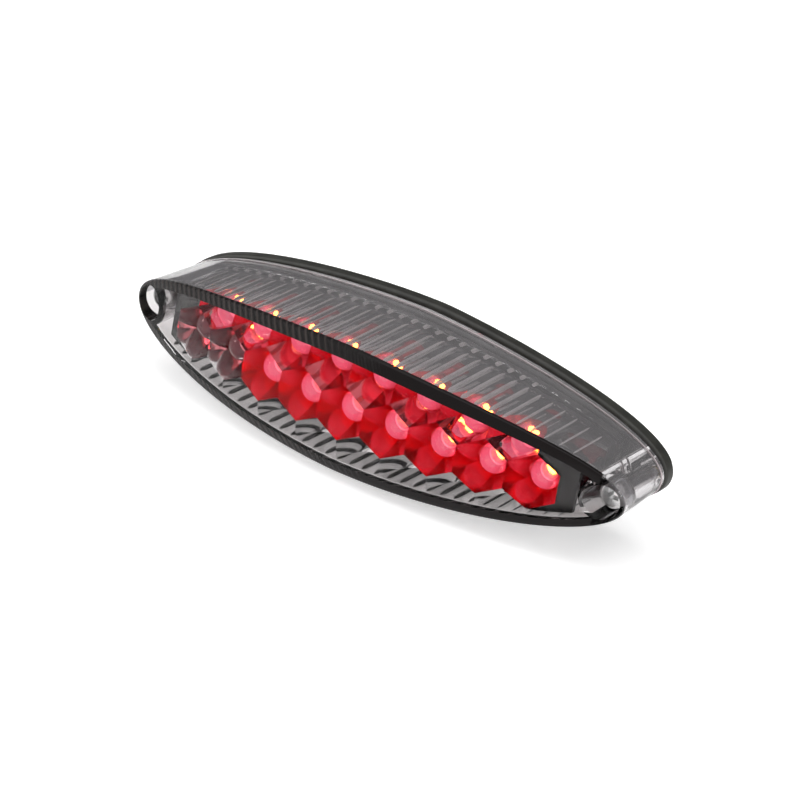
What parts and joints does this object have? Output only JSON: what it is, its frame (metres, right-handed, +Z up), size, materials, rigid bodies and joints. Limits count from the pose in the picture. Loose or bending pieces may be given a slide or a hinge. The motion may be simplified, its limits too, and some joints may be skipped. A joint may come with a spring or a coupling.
{
  "type": "tail light",
  "caption": "Eye-shaped surface-mount LED tail light: smoked clear fluted lens over a bright honeycomb reflector with red light sources on a flat black base.",
  "frame": {"origin": "centre of the mounting face, midway between the two studs", "axes": "+X along the length of the light, +Y from the light into the vehicle, +Z up; the lens faces -Y"},
  "size_m": [0.094, 0.0395, 0.0246],
  "materials": {
    "smoked_clear_lens": "polished, clear with a light smoke tint",
    "bright_plating": "vacuum-plated, mirror bright",
    "red_led_epoxy": "clear epoxy that glows red when lit",
    "housing_plastic": "fine matte texture",
    "seal_rubber": "matte",
    "black_foam_rubber": "closed-cell foam",
    "black_board": "black solder mask",
    "tinned_wire": "tinned",
    "resistor_beige": "lacquered",
    "diode_black": "moulded",
    "solder": "bright",
    "zinc_steel": "zinc plated",
    "screw_steel": "plated",
    "insert_brass": "turned"
  },
  "bodies": {
    "housing": {"base_housing": "housing_plastic", "board_screws": "screw_steel", "brake_diode": "diode_black", "cable_grommet": "seal_rubber", "circuit_board": "black_board", "led_leads_middle": "tinned_wire", "led_leads_top": "tinned_wire", "led_middle_1": "red_led_epoxy", "led_middle_2": "red_led_epoxy", "led_middle_3": "red_led_epoxy", "led_middle_4": "red_led_epoxy", "led_middle_5": "red_led_epoxy", "led_middle_6": "red_led_epoxy", "led_middle_7": "red_led_epoxy", "led_middle_8": "red_led_epoxy", "led_middle_9": "red_led_epoxy", "led_top_1": "red_led_epoxy", "led_top_2": "red_led_epoxy", "led_top_3": "red_led_epoxy", "led_top_4": "red_led_epoxy", "led_top_5": "red_led_epoxy", "led_top_6": "red_led_epoxy", "led_top_7": "red_led_epoxy", "led_top_8": "red_led_epoxy", "lens_seal": "seal_rubber", "mounting_pad": "black_foam_rubber", "mounting_stud_left": "zinc_steel", "mounting_stud_right": "zinc_steel", "reflector": "bright_plating", "reflector_screws": "screw_steel", "resistor_1": "resistor_beige", "resistor_2": "resistor_beige", "resistor_3": "resistor_beige", "resistor_4": "resistor_beige", "screw_inserts": "insert_brass", "tail_diode": "diode_black", "wire_terminals": "solder"},
    "lens": {"lens_cover": "smoked_clear_lens"},
    "washer_left": {"lens_washer_left": "zinc_steel"},
    "washer_right": {"lens_washer_right": "zinc_steel"},
    "screw_left": {"lens_screw_left": "screw_steel"},
    "screw_right": {"lens_screw_right": "screw_steel"}
  },
  "joints": [
    {"name": "lens_slide", "type": "slide", "parent": "housing", "child": "lens", "axis": [0, -1, 0], "range_m": [0, 0.03]},
    {"name": "screw_left_travel", "type": "slide", "parent": "lens", "child": "washer_left", "axis": [0, -1, 0], "range_m": [0, 0.00225]},
    {"name": "screw_left_turn", "type": "hinge", "parent": "washer_left", "child": "screw_left", "pos_m": [-0.0434, 0, 0], "axis": [0, -1, 0], "range_deg": [0, 1801]},
    {"name": "screw_right_travel", "type": "slide", "parent": "lens", "child": "washer_right", "axis": [0, -1, 0], "range_m": [0, 0.00225]},
    {"name": "screw_right_turn", "type": "hinge", "parent": "washer_right", "child": "screw_right", "pos_m": [0.0434, 0, 0], "axis": [0, -1, 0], "range_deg": [0, 1801]}
  ],
  "couplings": [
    {"joint": "screw_left_turn", "follows": "screw_left_travel", "rad_per_m": 13963},
    {"joint": "screw_right_turn", "follows": "screw_right_travel", "rad_per_m": 13963}
  ]
}
